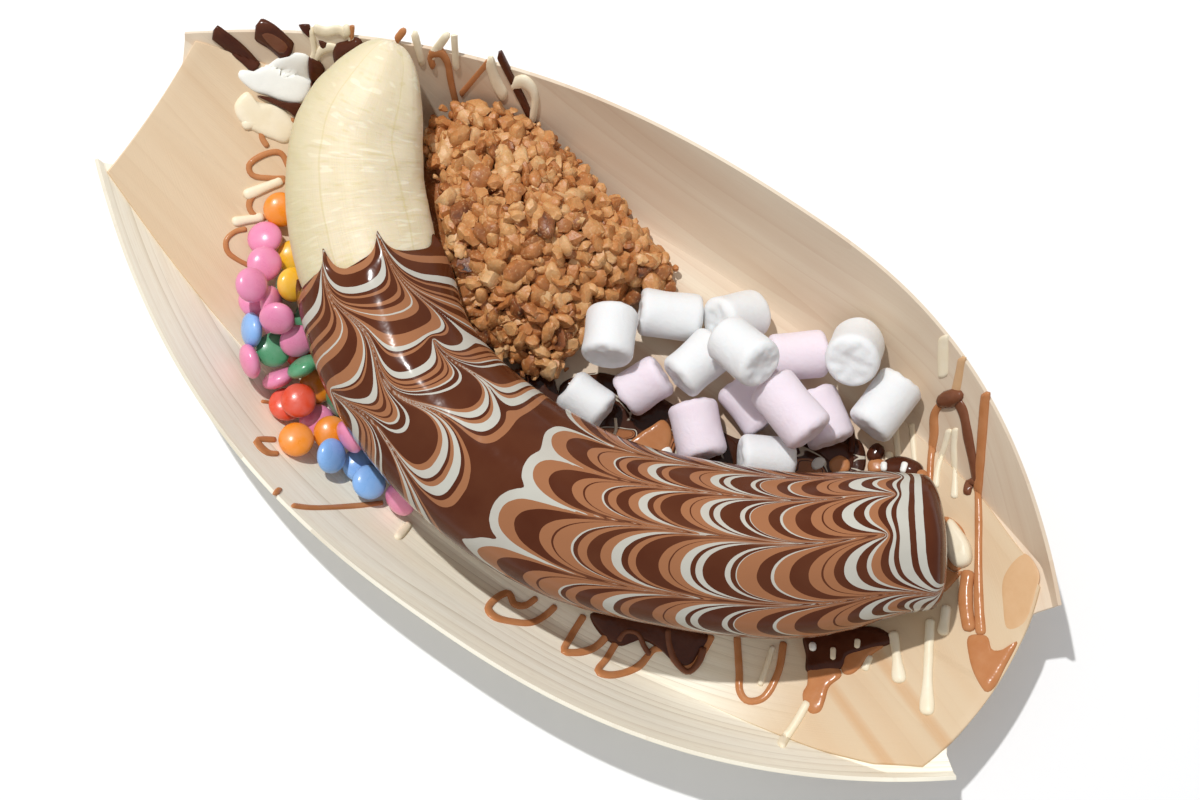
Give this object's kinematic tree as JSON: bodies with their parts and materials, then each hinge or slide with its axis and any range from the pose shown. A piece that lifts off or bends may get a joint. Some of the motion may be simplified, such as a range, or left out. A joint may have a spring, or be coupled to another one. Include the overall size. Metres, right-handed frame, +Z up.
{
  "type": "banana split in a wooden boat",
  "caption": "Peeled banana half dipped in marbled chocolate glaze, lying in a folded veneer boat with chopped nuts, marshmallows and sugar-shelled chocolate lentils.",
  "frame": {"origin": "middle of the boat's flat underside, on the surface it stands on", "axes": "+X along the boat towards the glazed tip of the banana, +Y towards the nuts and marshmallows, +Z up"},
  "size_m": [0.2259, 0.1178, 0.0385],
  "materials": {
    "veneer": "thin pine veneer, unvarnished, with a silky grain",
    "banana_flesh": "moist satin fruit flesh",
    "chocolate_glaze": "glossy marbled dark, milk and white chocolate",
    "chocolate_sauce": "glossy dark chocolate with milk and white swirls",
    "chopped_nuts": "dry toasted and sugared nut pieces",
    "marshmallow_white": "matte and powdery",
    "marshmallow_pink": "matte and powdery",
    "shell_orange": "polished sugar shell",
    "shell_pink": "polished sugar shell",
    "shell_yellow": "polished sugar shell",
    "shell_green": "polished sugar shell",
    "shell_blue": "polished sugar shell",
    "shell_red": "polished sugar shell"
  },
  "bodies": {
    "root": {"boat": "veneer", "banana": "banana_flesh", "coating": "chocolate_glaze", "sauce_pool": "chocolate_sauce", "nut_heap": "chopped_nuts", "marshmallow_01": "marshmallow_white", "marshmallow_02": "marshmallow_white", "marshmallow_03": "marshmallow_white", "marshmallow_04": "marshmallow_pink", "marshmallow_05": "marshmallow_white", "marshmallow_06": "marshmallow_pink", "marshmallow_07": "marshmallow_white", "marshmallow_08": "marshmallow_pink", "marshmallow_09": "marshmallow_white", "marshmallow_10": "marshmallow_pink", "marshmallow_11": "marshmallow_pink", "marshmallow_12": "marshmallow_white", "marshmallow_13": "marshmallow_white", "marshmallow_14": "marshmallow_white", "marshmallow_15": "marshmallow_pink", "candy_01": "shell_orange", "candy_02": "shell_yellow", "candy_03": "shell_green", "candy_04": "shell_yellow", "candy_05": "shell_green", "candy_06": "shell_red", "candy_07": "shell_orange", "candy_08": "shell_pink", "candy_09": "shell_orange", "candy_10": "shell_green", "candy_11": "shell_pink", "candy_12": "shell_pink", "candy_13": "shell_pink", "candy_14": "shell_pink", "candy_15": "shell_pink", "candy_16": "shell_pink", "candy_17": "shell_blue", "candy_18": "shell_pink", "candy_19": "shell_pink", "candy_20": "shell_pink", "candy_21": "shell_pink", "candy_22": "shell_green", "candy_23": "shell_red", "candy_24": "shell_red", "candy_25": "shell_green", "candy_26": "shell_orange", "candy_27": "shell_blue", "candy_28": "shell_blue", "candy_29": "shell_pink", "candy_30": "shell_blue", "candy_31": "shell_pink"}
  },
  "joints": []
}
